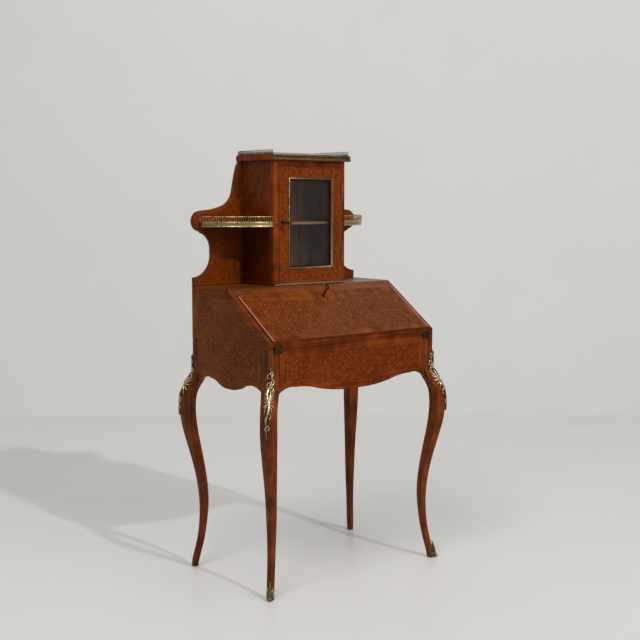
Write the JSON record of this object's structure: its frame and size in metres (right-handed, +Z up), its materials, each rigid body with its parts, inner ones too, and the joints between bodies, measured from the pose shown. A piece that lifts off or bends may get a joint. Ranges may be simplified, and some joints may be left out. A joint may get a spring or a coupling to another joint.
{
  "type": "slant-front writing desk",
  "caption": "Slant-front writing desk on cabriole legs with a glazed cabinet, galleried corner shelves, a fitted interior, gilt knee mounts and locks with keys.",
  "frame": {"origin": "on the floor under the middle of the carcass", "axes": "+X to the right of a person at the desk, -Y towards that person, +Z up"},
  "size_m": [0.708, 0.467, 1.292],
  "materials": {
    "veneer_marquetry": "French-polished parquetry veneer",
    "veneer_banding": "French-polished straight-grained veneer",
    "carcass_wood": "plain stained oak",
    "interior_wood": "waxed",
    "gilt_brass": "aged gilt",
    "hinge_brass": "dark patina",
    "key_brass": "darkened, rubbed bright on the bow",
    "lock_steel": "filed",
    "writing_leather": "waxed hide",
    "cabinet_glass": "clear, slightly aged"
  },
  "bodies": {
    "desk": {"front_apron": "veneer_marquetry", "side_panel_left": "veneer_marquetry", "side_panel_right": "veneer_marquetry", "back_board": "veneer_marquetry", "cabinet_side_left": "veneer_marquetry", "cabinet_side_right": "veneer_marquetry", "top_board": "veneer_marquetry", "corner_shelf_left": "veneer_marquetry", "corner_shelf_right": "veneer_marquetry", "leg_front_left": "veneer_banding", "leg_front_right": "veneer_banding", "leg_rear_left": "veneer_banding", "leg_rear_right": "veneer_banding", "cabinet_stile_left": "veneer_banding", "cabinet_stile_right": "veneer_banding", "cabinet_top_rail": "veneer_banding", "cabinet_top": "veneer_banding", "rear_apron": "carcass_wood", "back_panel": "carcass_wood", "bed_bearers": "carcass_wood", "lock_rail": "carcass_wood", "writing_bed": "interior_wood", "pigeonhole_uprights": "interior_wood", "pigeonhole_shelves": "interior_wood", "pigeonhole_short_uprights": "interior_wood", "cabinet_floor": "interior_wood", "cabinet_shelf": "interior_wood", "knee_mounts": "gilt_brass", "sabots": "gilt_brass", "shelf_gallery_left": "gilt_brass", "shelf_gallery_right": "gilt_brass", "top_gallery": "gilt_brass", "base_moulding": "gilt_brass", "shelf_pegs": "gilt_brass", "fall_hinge_fixed_leaves": "hinge_brass", "door_hinge_fixed_leaves": "hinge_brass"},
    "fall": {"fall_board": "veneer_marquetry", "fall_leather": "writing_leather", "fall_lock_case": "lock_steel", "fall_hinge_moving_leaves": "hinge_brass"},
    "fall_bolt": {"fall_lock_bolt": "lock_steel"},
    "fall_key": {"fall_lock_key": "key_brass"},
    "door": {"door_stile_left": "veneer_banding", "door_stile_right": "veneer_banding", "door_rail_bottom": "veneer_banding", "door_rail_top": "veneer_banding", "door_moulding": "gilt_brass", "door_glass": "cabinet_glass", "glazing_beads": "veneer_banding", "door_lock_case": "lock_steel", "door_hinge_moving_leaves": "hinge_brass"},
    "door_bolt": {"door_lock_bolt": "lock_steel"},
    "door_key": {"door_lock_key": "key_brass"},
    "drawer_left": {"drawer_front_left": "interior_wood", "drawer_tray_left": "interior_wood", "drawer_knob_left": "gilt_brass"},
    "drawer_right": {"drawer_front_right": "interior_wood", "drawer_tray_right": "interior_wood", "drawer_knob_right": "gilt_brass"}
  },
  "joints": [
    {"name": "fall_hinge", "type": "hinge", "parent": "desk", "child": "fall", "pos_m": [0, -0.2016, 0.71923], "axis": [1, 0, 0], "range_deg": [0, 146]},
    {"name": "fall_key_turn", "type": "hinge", "parent": "fall", "child": "fall_key", "pos_m": [0, -0.04609, 0.84793], "axis": [0, -0.5592, 0.829], "range_deg": [0, 90]},
    {"name": "fall_bolt_slide", "type": "slide", "parent": "fall", "child": "fall_bolt", "axis": [0, 0.829, 0.5592], "range_m": [0, 0.008]},
    {"name": "door_hinge", "type": "hinge", "parent": "desk", "child": "door", "pos_m": [0.12605, 0.0169, 0.93], "axis": [0, 0, 1], "range_deg": [0, 165]},
    {"name": "door_key_turn", "type": "hinge", "parent": "door", "child": "door_key", "pos_m": [-0.1045, 0.02, 1.07304], "axis": [0, -1, 0], "range_deg": [0, 90]},
    {"name": "door_bolt_slide", "type": "slide", "parent": "door", "child": "door_bolt", "axis": [-1, 0, 0], "range_m": [0, 0.0045]},
    {"name": "drawer_left_slide", "type": "slide", "parent": "desk", "child": "drawer_left", "axis": [0, -1, 0], "range_m": [0, 0.105]},
    {"name": "drawer_right_slide", "type": "slide", "parent": "desk", "child": "drawer_right", "axis": [0, -1, 0], "range_m": [0, 0.105]}
  ],
  "couplings": [
    {"joint": "fall_bolt_slide", "follows": "fall_key_turn", "m_per_rad": 0.0050924},
    {"joint": "door_bolt_slide", "follows": "door_key_turn", "m_per_rad": 0.0028645}
  ]
}
